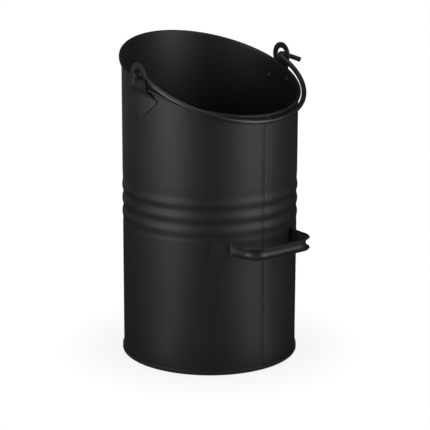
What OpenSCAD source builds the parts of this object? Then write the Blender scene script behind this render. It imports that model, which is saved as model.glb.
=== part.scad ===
// Coal scuttle: a tall sheet steel cylinder with a slanted mouth, a wire bail in two riveted ears
// and a pressed tipping handle low on the seam side. Lengths are in millimetres.
// The base stands on z = 0 and the wall's axis is Z. The low side of the mouth, the side seam and
// the tipping handle face -Y, the high lip faces +Y, and the bail turns about a line along X.

/* [View] */
// Sub-part to draw, or all of them

/* [Body sheet] */
// Outer radius of the plain wall
wall_radius = 111.1; // [100:0.1:122]
// Thickness of the body sheet
sheet = 0.7; // [0.5:0.05:0.9]
// Height of the high lip above the floor
high_lip = 400; // [360:1:440]
// Slant of the mouth from level, in degrees
mouth_angle = 17.6; // [12:0.1:22]

/* [Pressed beads] */
// Number of raised beads round the wall
bead_count = 3; // [1:1:4]
// Gap between the tipping handle's strap and the groove under the lowest bead
bead_clear = 2; // [0.5:0.5:20]
// Distance from one bead to the next
bead_pitch = 17.3; // [14:0.1:19]
// How far a bead stands out of the plain wall
bead_crest = 0.65; // [0.2:0.05:0.9]
// How far the grooves between the beads go in
bead_groove = 0.75; // [0.2:0.05:1]
// How far the wall goes in above and below the beads
bead_edge = 0.35; // [0.1:0.05:0.6]
// Run from there back to the plain wall above
bead_ease = 13; // [9:0.5:16]
// Run from there back to the plain wall below
bead_lead = 5.5; // [4:0.5:9]

/* [Rolled rim] */
// Diameter of the wire inside the rolled rim
rim_wire_d = 2.4; // [1.8:0.1:3]
// Air between the rim wire and the sheet rolled round it
roll_slack = 0.1; // [0.06:0.01:0.15]
// How far the sheet is rolled round the wire, in degrees
roll_turn = 305; // [270:1:306]

/* [Side seam] */
// Width of the raised lock seam
seam_w = 8; // [6:0.5:10]
// Height of the lock seam above the wall
seam_h = 0.8; // [0.6:0.1:1.3]

/* [Bottom] */
// Height of the folded seam that holds the bottom
chime_h = 5.8; // [5:0.1:8]
// Height of the bottom sheet above the floor
pan_rise = 7; // [6.5:0.5:12]

/* [Ears] */
// Thickness of the ear plates
ear_thick = 1.5; // [1.2:0.1:2]
// Width of an ear's round head
ear_w = 31.6; // [30:0.1:34]
// Width of the ear's neck, where it passes the rolled rim
neck_w = 28; // [26:0.5:30]
// Diameter of the hole that the bail turns in
ear_hole_d = 14.6; // [12:0.2:16]
// How far the hole lies above the middle of the head
hole_rise = 0.8; // [0.4:0.1:2]
// Bail axis above the rim's centre line
pivot_rise = 12.6; // [11.6:0.1:16]
// How far the ears sit toward the low side of the mouth
pivot_shift = 3.8; // [2.5:0.1:6]
// Bend of the ear back to the wall under the rim, in degrees
ear_bend = 34; // [32:0.5:42]
// Half width over the side lobes of the ear's foot
lobe_half = 28.9; // [27:0.1:31]
// Drop from the ear's bend line to the corner of a lobe
lobe_drop = 14.6; // [12:0.1:17]
// Drop from the ear's bend line to the point of the foot
tip_drop = 38.5; // [34:0.5:42]

/* [Rivets] */
// Diameter of a rivet's shank
rivet_d = 4; // [3:0.1:4.6]
// Diameter of a rivet's head, inside the wall
rivet_head_d = 8.2; // [6.6:0.1:9]
// Height of a rivet's head
rivet_head_h = 1.5; // [1:0.1:1.8]
// Diameter of a rivet's flat end, outside on the ear
rivet_end_d = 5.2; // [4.8:0.1:6]
// Height of a rivet's flat end
rivet_end_h = 0.5; // [0.3:0.05:1]
// Distance of a rivet from the middle of its ear
rivet_half = 18.2; // [16:0.1:19]
// Drop from the ear's bend line to the rivets
rivet_drop = 13.9; // [12.5:0.1:15.5]

/* [Bail] */
// Diameter of the bail wire
bail_wire_d = 6.3; // [5:0.1:6.6]
// Length of the bail's leg from its axis to the half round bow
bail_leg = 14.7; // [13:0.1:20]
// Length of the straight ends that stick out of the ears
stub_len = 23.6; // [15:0.2:32]
// Angle between those ends and the bail's axis, in degrees
stub_angle = 49; // [40:1:60]

/* [Tipping handle] */
// Height of the middle of the handle
handle_z = 164.5; // [120:0.5:168]
// Width of the strap that the handle is pressed from
strap_w = 19; // [16:0.5:22]
// Thickness of that strap
strap_t = 1.2; // [1:0.1:1.6]
// Distance between the two limbs of the handle
grip_w = 97; // [88:1:106]
// How far the grip stands off the wall
grip_out = 34.4; // [30:0.2:42]
// Radius of the bends between the limbs and the grip
grip_bend = 21.5; // [14:0.5:26]
// Half angle of the gutter that the grip is pressed into, in degrees
gutter_half = 75; // [50:1:85]
// Length of the flat foot at each end of the handle
foot_len = 24; // [18:1:30]
// Radius of the foot's outer corners
foot_round = 7; // [4:0.5:7.5]

/* [Hidden] */

// Counts: faces of exact round shapes, and steps of the swept ones
$fn = 96;
rim_steps = 120;
roll_steps = 11;
wire_sides = 8;
bead_steps = 14;
bend_steps = 10;
flare_steps = 8;
crease_steps = 5;
foot_steps = 3;
round_steps = 5;
gutter_steps = 10;

// Overrun of every cut, and clearances between pieces
over = 1;
fold_gap = 0.1;
hook_gap = 0.2;
seat_gap = 0.05;
rivet_gap = 0.05;
ear_gap = 0.2;
roll_thin = 0.06;
roll_root = 1.2;
seam_sink = 0.3;
seam_gap = 0.3;
edge_round_share = 0.8;
roll_tail_share = 0.2;

// Body sheet and the folded seam at its foot
wall_in = wall_radius - sheet;
wall_mid = wall_radius - sheet / 2;
hook_out = wall_radius + hook_gap + sheet;
chime_out = hook_out + fold_gap + sheet;
hook_low = sheet + fold_gap;
hook_top = chime_h - sheet - fold_gap;
edge_round = sheet * edge_round_share;

// Rolled rim: its tube radius, the radius of its centre line and the height of that line's plane
roll_r = rim_wire_d / 2 + roll_slack + sheet;
roll_c = wall_in + roll_r;
mouth_rise = tan(mouth_angle);
roll_z = high_lip - roll_r - mouth_rise * roll_c;
mouth_cut_angle = atan(mouth_rise * roll_c / wall_mid);
big = high_lip;
bead_mid = handle_z + strap_w / 2 + bead_clear + bead_count / 2 * bead_pitch;

// Ears and the bail's axis
pivot_y = -pivot_shift;
pivot_z = roll_at(pivot_y) + pivot_rise;
ear_in = roll_c + roll_r + ear_gap;
ear_mid = ear_in + ear_thick / 2;
ear_tuck = 0.4;
head_z = pivot_z - hole_rise;
bend_z = roll_at(pivot_y - neck_w / 2) + ear_tuck;
foot_in = wall_radius + seat_gap;
foot_out = foot_in + ear_thick;
foot_drop = (ear_in - foot_in) / tan(ear_bend);
lobe_round = 3.5;
tip_round = 5;

// Bail: its half width, bend radius and straight legs
bail_r = bail_wire_d / 2;
bail_side_gap = 0.45;
bail_half = ear_in - bail_side_gap - bail_r;
hook_r = ear_mid - bail_half;
rest_gap = 0.4;
rest_points = 60;
rest_tries = 20;
bail_rest = settle(0, 60, rest_tries);
wire_slim = 0.03;
wire_lap = 0.3;
wire_round = 0.8;

// Tipping handle: centre line of the strap
strap_r = wall_radius + seat_gap + strap_t / 2;
limb_x = grip_w / 2;
grip_y = wall_radius + grip_out;
crease_r = 3;
flare_len = 16;
flat_half = 0.3;
crease_x = limb_x + crease_r;
crease_y = sqrt(pow(strap_r + crease_r, 2) - pow(crease_x, 2));
crease_turn = atan(crease_x / crease_y);
foot_end = crease_turn + foot_len / strap_r * 180 / PI;

// Height of the rim's centre plane over a place y
function roll_at(y) = roll_z + mouth_rise * y;

// Clear gap between the bail's bow, hanging at an angle below level, and the rolled rim. Each
// point of the bow is measured square to the rim's centre line.
function bail_gap(angle) = min([for (k = [0:rest_points])
    let (across = bail_half * sin(90 * k / rest_points))
    let (along = bail_leg + bail_half * cos(90 * k / rest_points))
    let (y = pivot_y - along * cos(angle))
    let (r = norm([across, y]))
    let (rise = pivot_z - along * sin(angle) - roll_at(roll_c * y / r))
    let (slope = mouth_rise * across / r)
    norm([r - roll_c, rise / sqrt(1 + slope * slope)])]) - bail_r - roll_r;

// Angle at which the bail comes down to its gap over the rim, halving the span each time
function settle(high, low, tries) =
    let (mid = (high + low) / 2)
    tries == 0 ? mid : bail_gap(mid) > rest_gap ? settle(mid, low, tries - 1) : settle(high, mid, tries - 1);

// Wall offset at height z: cosine beads between grooves, with a half wave back to the plain wall
function bead(z) =
    let (q = abs(z - bead_mid) / bead_pitch)
    let (edge = bead_count / 2)
    let (deep = q > edge - 1 / 2 ? bead_edge : bead_groove)
    let (lead = (q - edge) * bead_pitch / (z > bead_mid ? bead_ease : bead_lead))
    q <= edge ? (bead_crest - deep) / 2 + (bead_crest + deep) / 2 * cos(360 * (q - (bead_count - 1) / 2))
    : lead < 1 ? -bead_edge * (1 + cos(180 * lead)) / 2 : 0;

bead_low = bead_mid - bead_count / 2 * bead_pitch - bead_lead;
bead_high = bead_mid + bead_count / 2 * bead_pitch + bead_ease;
bead_rows = ceil((bead_high - bead_low) / bead_pitch * bead_steps);

// Points of the wall's side from z = low to high, at a given offset from its outer face
function wall_side(low, high, shift) = concat(
    [[wall_radius + shift, low]],
    [for (i = [0:bead_rows]) let (z = bead_low + (bead_high - bead_low) * i / bead_rows)
        [wall_radius + shift + bead(z), z]],
    [[wall_radius + shift, high]]);

// A list of points in the other order
function turned(list) = [for (i = [len(list) - 1:-1:0]) list[i]];

// Points of an outline whose corners are rounded: each corner is [x, y, radius]
function rounded(corners) = [
    for (i = [0:len(corners) - 1])
    let (n = len(corners))
    let (here = [corners[i][0], corners[i][1]])
    let (back = [corners[(i + n - 1) % n][0], corners[(i + n - 1) % n][1]])
    let (next = [corners[(i + 1) % n][0], corners[(i + 1) % n][1]])
    let (r = corners[i][2])
    let (a = (back - here) / norm(back - here))
    let (b = (next - here) / norm(next - here))
    let (half = acos(a * b) / 2)
    let (centre = here + (a + b) / norm(a + b) * r / sin(half))
    let (from = here + a * r / tan(half) - centre)
    let (to = here + b * r / tan(half) - centre)
    let (side = from[0] * to[1] - from[1] * to[0] > 0 ? 1 : -1)
    let (steps = r > 0 ? round_steps : 0)
    for (k = [0:steps])
        r > 0 ? centre + turn(from, side * (180 - 2 * half) * k / steps) : here];

// A flat vector turned by an angle
function turn(v, angle) = [v[0] * cos(angle) - v[1] * sin(angle), v[0] * sin(angle) + v[1] * cos(angle)];

// Place on the rim's centre line at angle a, shifted outward by u and up the sheet by v
function rim_place(a, u, v) =
    let (m = sqrt(1 + pow(mouth_rise * cos(a), 2)))
    let (centre = [roll_c * cos(a), roll_c * sin(a), roll_at(roll_c * sin(a))])
    let (outward = [cos(a), sin(a), 0])
    let (upward = [mouth_rise * sin(a) * cos(a), -mouth_rise * pow(cos(a), 2), 1] / m)
    centre + u * outward + v * upward;

// Section of the rolled sheet: from its free edge below the wire, over the top, down into the wall
function roll_section() =
    let (mid = roll_r - sheet / 2)
    let (half = sheet / 2 - roll_thin)
    let (span = roll_turn / roll_steps)
    concat(
        [for (k = [0:roll_steps]) (mid + half) * [cos(180 - roll_turn + span * k), sin(180 - roll_turn + span * k)]],
        [[-mid - half, -roll_root], [-mid + half, -roll_root]],
        [for (k = [roll_steps:-1:0]) (mid - half) * [cos(180 - roll_turn + span * k), sin(180 - roll_turn + span * k)]]);

// Section of the rim wire
function wire_section() = [for (k = [0:wire_sides - 1])
    rim_wire_d / 2 * [cos(360 * k / wire_sides), sin(360 * k / wire_sides)]];

// Stations of the handle's strap from the middle of the grip to its right foot:
// [x, y, direction that the gutter opens to, half angle of the gutter, strap width]
function smooth(t) = t * t * (3 - 2 * t);
function open_half(t) = flat_half + (gutter_half - flat_half) * smooth(max(0, min(1, t)));
function end_width(s) = s >= foot_round ? strap_w
    : strap_w - 2 * foot_round + 2 * sqrt(pow(foot_round, 2) - pow(foot_round - s, 2));
function foot_station(t, width) = [strap_r * sin(t), -strap_r * cos(t), t - 90, flat_half, width];
round_angle = foot_round / strap_r * 180 / PI;

half_stations = concat(
    [[0, -grip_y, -90, gutter_half, strap_w]],
    [for (k = [0:bend_steps]) let (t = -90 + 90 * k / bend_steps)
        [limb_x - grip_bend + grip_bend * cos(t), -grip_y + grip_bend + grip_bend * sin(t), t, gutter_half, strap_w]],
    [for (k = [0:flare_steps - 1]) let (s = flare_len * (1 - k / flare_steps))
        [limb_x, -crease_y - s, 0, open_half(s / flare_len), strap_w]],
    [for (k = [0:crease_steps]) let (t = -(90 - crease_turn) * k / crease_steps)
        [crease_x - crease_r * cos(t), -crease_y - crease_r * sin(t), t, flat_half, strap_w]],
    [for (k = [1:foot_steps]) let (t = crease_turn + (foot_end - round_angle - crease_turn) * k / foot_steps)
        foot_station(t, strap_w)],
    [for (k = [1:round_steps]) let (s = foot_round * (1 - sin(90 * k / round_steps)))
        foot_station(foot_end - s / strap_r * 180 / PI, end_width(s))]);

strap_stations = concat(
    [for (i = [len(half_stations) - 1:-1:1]) let (s = half_stations[i]) [-s[0], s[1], -180 - s[2], s[3], s[4]]],
    half_stations);

// Loop of one station: the open face of the gutter upward, then its back downward
function strap_loop(s) =
    let (arc = s[4] / (2 * s[3] * PI / 180))
    let (shift = arc * sin(s[3]) / (s[3] * PI / 180))
    concat(
        [for (k = [0:gutter_steps]) strap_point(s, arc - strap_t / 2, shift, s[3] * (2 * k / gutter_steps - 1))],
        [for (k = [gutter_steps:-1:0]) strap_point(s, arc + strap_t / 2, shift, s[3] * (2 * k / gutter_steps - 1))]);

function strap_point(s, r, shift, a) =
    [s[0] + (shift - r * cos(a)) * cos(s[2]), s[1] + (shift - r * cos(a)) * sin(s[2]), handle_z + r * sin(a)];

// A section swept round the whole rim
module rim_sweep(section) {
    n = len(section);
    points = [for (i = [0:rim_steps - 1]) for (p = section) rim_place(360 * i / rim_steps, p[0], p[1])];
    faces = [for (i = [0:rim_steps - 1]) for (j = [0:n - 1])
        let (i2 = (i + 1) % rim_steps)
        let (j2 = (j + 1) % n)
        for (f = [[i * n + j, i2 * n + j2, i2 * n + j], [i * n + j, i * n + j2, i2 * n + j2]]) f];
    polyhedron(points = points, faces = faces, convexity = 6);
}

// The wall as one turned sheet, with the hook at its foot, cut off by the slanted mouth
module wall() {
    top = high_lip + over;
    difference() {
        rotate_extrude() polygon(concat(
            [[wall_in, hook_low], [hook_out, hook_low], [hook_out, hook_top], [hook_out - sheet, hook_top]],
            [[hook_out - sheet, hook_low + sheet]],
            wall_side(hook_low + sheet, top, 0),
            turned(wall_side(hook_low + sheet, top, -sheet))));
        translate([0, 0, roll_z]) rotate([mouth_cut_angle, 0, 0]) translate([-big, -big, 0]) cube([2 * big, 2 * big, big]);
    }
}

// The raised lock seam, from the folded foot up to the rim
module seam() {
    turn_w = seam_w / wall_radius * 180 / PI;
    low = chime_h + seam_gap;
    high = roll_at(-roll_c) - roll_r - seam_gap;
    rotate([0, 0, -90 - turn_w / 2]) rotate_extrude(angle = turn_w) polygon(concat(
        wall_side(low, high, seam_h),
        turned(wall_side(low, high, -seam_sink))));
}

// Places a radial axis through the wall at each rivet of the right ear
module at_rivets() {
    for (side = [-1, 1])
        translate([0, 0, bend_z - rivet_drop])
            rotate([0, 0, asin((pivot_y + side * rivet_half) / wall_radius)])
                rotate([0, 90, 0]) children();
}

// The same places on both ears
module at_all_rivets() {
    at_rivets() children();
    mirror([1, 0, 0]) at_rivets() children();
}

module body_shell() {
    color([0.13, 0.13, 0.14]) difference() {
        union() {
            wall();
            seam();
            rim_sweep(roll_section());
        }
        at_all_rivets() translate([0, 0, wall_in - over]) cylinder(d = rivet_d + 2 * rivet_gap, h = sheet + 2 * over);
    }
}

module rim_wire() {
    color([0.45, 0.46, 0.48]) rim_sweep(wire_section());
}

// Bottom sheet whose edge is folded down inside the wall, under it and up round its hook
module bottom_pan() {
    inner = wall_in - fold_gap;
    color([0.16, 0.16, 0.17]) rotate_extrude() polygon(rounded([
        [0, pan_rise, 0],
        [inner - sheet, pan_rise, 0],
        [inner - sheet, 0, edge_round / 2],
        [chime_out, 0, edge_round],
        [chime_out, chime_h, edge_round],
        [wall_radius + fold_gap, chime_h, 0],
        [wall_radius + fold_gap, chime_h - sheet, 0],
        [chime_out - sheet, chime_h - sheet, 0],
        [chime_out - sheet, sheet, 0],
        [inner, sheet, 0],
        [inner, pan_rise + sheet, edge_round],
        [0, pan_rise + sheet, 0]]));
}

// Half outline of the ear's foot, from the bend line down: [across, height, radius]
foot_outline = [
    [neck_w / 2, bend_z - foot_drop, 0],
    [lobe_half, bend_z - lobe_drop, lobe_round],
    [0, bend_z - tip_drop, tip_round],
    [-lobe_half, bend_z - lobe_drop, lobe_round],
    [-neck_w / 2, bend_z - foot_drop, 0]];

// Right ear: a flat head outside the rolled rim, bent back under it to a foot on the wall
module ear_plate() {
    reach = (ear_in - wall_in) / sin(ear_bend);
    slope = [-sin(ear_bend), -cos(ear_bend)];
    knee = [ear_in, bend_z];
    heel = [ear_in + ear_thick, bend_z - ear_thick * tan(ear_bend / 2)];
    difference() {
        union() {
            translate([ear_in, pivot_y, head_z]) rotate([0, 90, 0]) cylinder(d = ear_w, h = ear_thick);
            translate([ear_in, pivot_y - neck_w / 2, bend_z]) cube([ear_thick, neck_w, head_z - bend_z]);
            difference() {
                translate([0, pivot_y + neck_w / 2, 0]) rotate([90, 0, 0]) linear_extrude(neck_w)
                    polygon([knee, knee + reach * slope, heel + reach * slope, heel, [ear_in + ear_thick, bend_z]]);
                cylinder(r = foot_in, h = high_lip);
            }
            intersection() {
                difference() {
                    cylinder(r = foot_out, h = high_lip);
                    cylinder(r = foot_in, h = high_lip);
                }
                translate([wall_radius / 2, pivot_y, 0]) rotate([90, 0, 90]) linear_extrude(wall_radius)
                    polygon(rounded(foot_outline));
            }
        }
        translate([ear_in - over, pivot_y, pivot_z]) rotate([0, 90, 0]) cylinder(d = ear_hole_d, h = ear_thick + 2 * over);
        at_rivets() translate([0, 0, foot_in - over]) cylinder(d = rivet_d + 2 * rivet_gap, h = ear_thick + 2 * over);
    }
}

module right_ear() {
    color([0.17, 0.17, 0.18]) ear_plate();
}

module left_ear() {
    color([0.17, 0.17, 0.18]) mirror([1, 0, 0]) ear_plate();
}

// A low dome of a given width and height that stands on z = 0
module rivet_dome(width, height) {
    ball = (pow(width / 2, 2) + pow(height, 2)) / (2 * height);
    intersection() {
        translate([0, 0, height - ball]) sphere(r = ball);
        cylinder(d = width + over, h = height + over);
    }
}

// Two rivets through the foot and the wall, with round heads inside and flat ends outside
module rivet_pair() {
    inside = sqrt(pow(wall_in, 2) - pow(rivet_head_d / 2, 2)) - seat_gap;
    at_rivets() union() {
        translate([0, 0, foot_out]) rivet_dome(rivet_end_d, rivet_end_h);
        translate([0, 0, inside]) cylinder(d = rivet_d, h = foot_out - inside);
        translate([0, 0, inside]) mirror([0, 0, 1]) rivet_dome(rivet_head_d, rivet_head_h);
    }
}

module right_ear_rivets() {
    color([0.3, 0.3, 0.32]) rivet_pair();
}

module left_ear_rivets() {
    color([0.3, 0.3, 0.32]) mirror([1, 0, 0]) rivet_pair();
}

// A straight length of the bail's wire up from z = 0, a hair slimmer so that it can lap into a bend
module wire_straight(length) {
    translate([0, 0, -wire_lap]) cylinder(r = bail_r - wire_slim, h = length + 2 * wire_lap);
}

// One end of the bail in its own plane, with the bow toward -Y: the leg inside the ear, the turn
// through the hole and the straight end outside
module bail_end() {
    end_r = bail_r - wire_slim;
    translate([bail_half, -hook_r, 0]) {
        rotate([90, 0, 0]) wire_straight(bail_leg - hook_r);
        translate([hook_r, 0, 0]) mirror([1, 0, 0]) rotate_extrude(angle = 90 + stub_angle)
            translate([hook_r, 0]) circle(r = bail_r);
        translate([hook_r + hook_r * sin(stub_angle), hook_r * cos(stub_angle), 0]) rotate([0, 0, -stub_angle])
            rotate([0, 90, 0]) rotate_extrude() polygon([[0, -wire_lap], [end_r, -wire_lap],
                [end_r, stub_len - wire_round], [end_r - wire_round, stub_len], [0, stub_len]]);
    }
}

module bail() {
    color([0.32, 0.32, 0.34]) translate([0, pivot_y, pivot_z]) rotate([bail_rest, 0, 0]) union() {
        translate([0, -bail_leg, 0]) rotate([0, 0, 180]) rotate_extrude(angle = 180) translate([bail_half, 0]) circle(r = bail_r);
        bail_end();
        mirror([1, 0, 0]) bail_end();
    }
}

// The strap lofted through its stations: flat feet on the wall, a gutter open outward round the grip
module tipping_handle() {
    rows = len(strap_stations);
    n = 2 * (gutter_steps + 1);
    points = [for (s = strap_stations) for (p = strap_loop(s)) p];
    last = (rows - 1) * n;
    sides = [for (i = [0:rows - 2]) for (j = [0:n - 1])
        let (j2 = (j + 1) % n)
        for (f = [[i * n + j, (i + 1) * n + j2, (i + 1) * n + j], [i * n + j, i * n + j2, (i + 1) * n + j2]]) f];
    ends = [for (j = [0:gutter_steps - 1])
        let (k = n - 1 - j)
        for (f = [[j, k, k - 1], [j, k - 1, j + 1], [last + j, last + k - 1, last + k], [last + j, last + j + 1, last + k - 1]]) f];
    color([0.15, 0.15, 0.16]) polyhedron(points = points, faces = concat(sides, ends), convexity = 6);
}

body_shell();
rim_wire();
bottom_pan();
left_ear();
right_ear();
left_ear_rivets();
right_ear_rivets();
bail();
tipping_handle();
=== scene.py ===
# %% [markdown]
# # Dressing a coal scuttle in Blender
# The object is a tall round bucket for coal or ash: one black powder-coated steel sheet rolled to
# a cylinder, with a slanted mouth, three pressed beads, a wire bail in two ears and a tipping
# handle low on the seam side. The CAD model already fixes every place and size, so it is loaded
# first as a frame, and each piece made below is a finer skin for one of its nodes.

# %% Load the frame
import math

import bpy
import numpy as np
from mathutils import Matrix, Vector


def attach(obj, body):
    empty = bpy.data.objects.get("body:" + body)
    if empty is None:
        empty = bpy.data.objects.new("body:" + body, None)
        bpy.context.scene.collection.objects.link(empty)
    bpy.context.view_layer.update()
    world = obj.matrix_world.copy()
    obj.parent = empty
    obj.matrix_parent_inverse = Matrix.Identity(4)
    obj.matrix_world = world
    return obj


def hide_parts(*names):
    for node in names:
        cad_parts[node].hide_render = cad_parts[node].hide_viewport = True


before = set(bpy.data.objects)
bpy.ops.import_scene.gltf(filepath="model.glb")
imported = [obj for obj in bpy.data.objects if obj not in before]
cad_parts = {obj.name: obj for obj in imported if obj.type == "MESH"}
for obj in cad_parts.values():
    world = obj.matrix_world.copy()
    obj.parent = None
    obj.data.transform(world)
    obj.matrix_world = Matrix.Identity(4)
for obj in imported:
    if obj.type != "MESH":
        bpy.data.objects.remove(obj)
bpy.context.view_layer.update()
print("CAD nodes:", sorted(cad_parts))

# %% [markdown]
# ## From arrays to meshes
# Sheet metal is all smooth sweeps, so each piece can be a grid of points worked out by a formula:
# one direction runs round the piece, the other along it. A loop over points would be slow and
# hard to read, so numpy works on whole grids, and one helper turns a finished grid into a mesh.
# It measures the signed volume too, because a sweep can come out inside out without looking it.

# %% Grid to mesh
MM = 0.001


def grid_quads(rows, columns, close_rows, close_columns):
    """Point numbers of the quads of a grid: each joins (i, j), (i+1, j), (i+1, j+1) and (i, j+1),
    where a closed direction wraps round to its start."""
    i, j = np.meshgrid(
        np.arange(rows if close_rows else rows - 1),
        np.arange(columns if close_columns else columns - 1),
        indexing="ij",
    )
    i2, j2 = (i + 1) % rows, (j + 1) % columns
    quads = [i * columns + j, i2 * columns + j, i2 * columns + j2, i * columns + j2]
    return np.stack(quads, -1).reshape(-1, 4)


def signed_volume(points, loops, starts, totals):
    """Sum over the faces of first corner . (next corner x corner after) / 6, each face cut in a
    fan of triangles: positive when the faces point outwards."""
    fans = totals - 2
    face = np.repeat(np.arange(len(totals)), fans)
    step = np.arange(fans.sum()) - np.repeat(np.cumsum(fans) - fans, fans)
    a = points[loops[starts[face]]]
    b = points[loops[starts[face] + step + 1]]
    c = points[loops[starts[face] + step + 2]]
    return float(np.einsum("ij,ij->i", a, np.cross(b, c)).sum() / 6)


def solid(name, parts, crease=35):
    """A closed mesh from parts, each a point array in millimetres with its quads and its caps,
    which are rings of point numbers that close an open end. Edges sharper than crease degrees
    stay sharp, and all others are shaded smooth."""
    points, loops, totals, first = [], [], [], 0
    for part_points, quads, caps in parts:
        loops += [face + first for face in [quads.ravel(), *caps]]
        totals += [4] * len(quads) + [len(cap) for cap in caps]
        points.append(part_points.reshape(-1, 3))
        first += len(points[-1])
    points = np.concatenate(points) * MM
    loops = np.concatenate(loops)
    totals = np.array(totals)
    starts = np.cumsum(totals) - totals
    volume = signed_volume(points, loops, starts, totals)
    if volume < 0:
        within = np.arange(len(loops)) - np.repeat(starts, totals)
        loops = loops[np.repeat(starts + totals - 1, totals) - within]
    mesh = bpy.data.meshes.new(name)
    mesh.vertices.add(len(points))
    mesh.vertices.foreach_set("co", points.astype(np.float32).ravel())
    mesh.loops.add(len(loops))
    mesh.loops.foreach_set("vertex_index", loops.astype(np.int32))
    mesh.polygons.add(len(totals))
    mesh.polygons.foreach_set("loop_start", starts.astype(np.int32))
    mesh.update(calc_edges=True)
    mesh.validate()
    mesh.shade_smooth()
    mesh.set_sharp_from_angle(angle=math.radians(crease))
    piece = bpy.data.objects.new(name, mesh)
    bpy.context.scene.collection.objects.link(piece)
    print(f"{name}: {len(points)} points, {abs(volume) * 1e6:.1f} cm3")
    return piece


def tube(sections):
    """A part from a grid of sections along a path, closed round and capped at both ends."""
    rows, columns = sections.shape[:2]
    last = (rows - 1) * columns
    ends = [np.arange(columns)[::-1], last + np.arange(columns)]
    return sections, grid_quads(rows, columns, False, True), ends


def ring_sheet(sections):
    """A part from a grid that closes on itself in both directions, like a tyre."""
    rows, columns = sections.shape[:2]
    return sections, grid_quads(rows, columns, True, True), []


# %% [markdown]
# ## Sizes shared with the CAD model
# The script can't read the CAD source, so the sizes that the skins follow are repeated here in
# millimetres, under the names a sheet metal worker would use. The rolled rim lies in a slanted
# plane, so the height of its centre line is a straight function of y.

# %% Body sizes
# The wall's outer radius and its sheet, then the high lip and the mouth's slope.
WALL_R, SHEET = 111.1, 0.7
WALL_IN = WALL_R - SHEET
HIGH_LIP, SLANT = 400.0, math.tan(math.radians(17.6))
# The rim wire and the air round it, then the curl: outer radius, centre, turn and height.
WIRE_R, ROLL_SLACK = 1.2, 0.1
ROLL_R = WIRE_R + ROLL_SLACK + SHEET
ROLL_C = WALL_IN + ROLL_R
ROLL_TURN = 305.0
ROLL_Z = HIGH_LIP - ROLL_R - SLANT * ROLL_C
# The beads: number, middle height and spacing, crest and grooves, and how they run out.
BEAD_COUNT, BEAD_MID, BEAD_PITCH = 3, 201.95, 17.3
BEAD_CREST, BEAD_GROOVE, BEAD_EDGE = 0.65, 0.75, 0.35
BEAD_EASE, BEAD_LEAD, BEAD_REACH = 13.0, 5.5, 40.0
BEADS_LOW, BEADS_HIGH = BEAD_MID - BEAD_REACH, BEAD_MID + BEAD_REACH
# The folded foot's radius and height, and the bottom's height over the floor.
CHIME_OUT, CHIME_H, PAN_RISE = 112.8, 5.8, 7.0
print(f"curl: {ROLL_R:.2f} mm in radius, {ROLL_C:.2f} mm from the axis, middle at {ROLL_Z:.2f} mm")


def roll_height(y):
    """Height of the rim's centre line over y: a plane that climbs towards the high lip."""
    return ROLL_Z + SLANT * y


def smooth_step(t):
    """0 below 0, 1 above 1 and 3t^2 - 2t^3 between, so a shape starts and ends without a kink."""
    t = np.clip(t, 0, 1)
    return t * t * (3 - 2 * t)


def bead_offset(z):
    """Radial offset of the wall: a cosine wave of crests between grooves, and outside the last
    grooves, which are shallower, a half wave that runs out to the plain wall."""
    outermost = (BEAD_COUNT - 1) / 2
    q = np.abs(z - BEAD_MID) / BEAD_PITCH
    deep = np.where(q > outermost, BEAD_EDGE, BEAD_GROOVE)
    turn = 2 * np.pi * (q - outermost)
    wave = (BEAD_CREST - deep) / 2 + (BEAD_CREST + deep) / 2 * np.cos(turn)
    run = np.where(z > BEAD_MID, BEAD_EASE, BEAD_LEAD)
    lead = (q - BEAD_COUNT / 2) * BEAD_PITCH / run
    fade = -BEAD_EDGE * (1 + np.cos(np.pi * np.clip(lead, 0, 1))) / 2
    return np.where(q <= BEAD_COUNT / 2, wave, fade)


# %% [markdown]
# ## The seam and the sheet's slow waves
# The sheet's two ends are hooked together and hammered flat. From above, that lock seam is a
# profile: a dip, a sharp fold, a strip that climbs a little, and a second dip. A table of heights
# across the seam says this best. Such a long sheet also never rolls to a perfect cylinder, and a
# few slow sines of a few hundredths of a millimetre make its highlights waver as real ones do.

# %% Seam and waves
# Degrees on each side with close points, places across the seam and the heights there.
SEAM_ZONE = 4.8
SEAM_PLACES = [-9.0, -8.0, -5.0, -4.05, -3.75, -3.2, 3.0, 3.4, 4.3, 4.8, 6.2, 7.0]
SEAM_HEIGHTS = [0.0, -0.04, -0.36, -0.38, 0.42, 0.5, 0.78, 0.72, -0.22, -0.25, -0.02, 0.0]
# The gap to foot and rim with the ramps there, then the waves' size and where they fade.
SEAM_GAP, SEAM_FOOT_RAMP, SEAM_TOP_RAMP = 0.3, 1.2, 2.6
SWAY, SWAY_FADE, STILL_FOOT, STILL_TOP = 0.01, 30, 8, 6


def seam_height(angle, z, top):
    """Height of the lock seam over the wall, from left to right: the wall dips, the folded edge
    rises, the strip climbs a little and drops again. It starts above the foot's fold and slopes
    into the wall under the rolled rim."""
    across = ((angle + np.pi / 2 + np.pi) % (2 * np.pi) - np.pi) * WALL_R
    shape = np.interp(across, SEAM_PLACES, SEAM_HEIGHTS)
    low = smooth_step((z - CHIME_H - SEAM_GAP) / SEAM_FOOT_RAMP)
    high = smooth_step((top - ROLL_R - SEAM_GAP - z) / SEAM_TOP_RAMP)
    return shape * low * high


def wall_sway(angle, z, top):
    """Three slow sines of angle and height, less 3, so that they only go inwards, by up to
    0.06 mm. They fade out towards the foot and the rim."""
    wave = np.sin(2 * angle + z / 61) + np.sin(3 * angle - z / 47 + 1.7)
    wave = wave + np.sin(5 * angle + z / 33 + 0.6)
    low = smooth_step((z - STILL_FOOT) / SWAY_FADE)
    high = smooth_step((top - STILL_TOP - z) / SWAY_FADE)
    return SWAY * (wave - 3) * low * high


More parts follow.
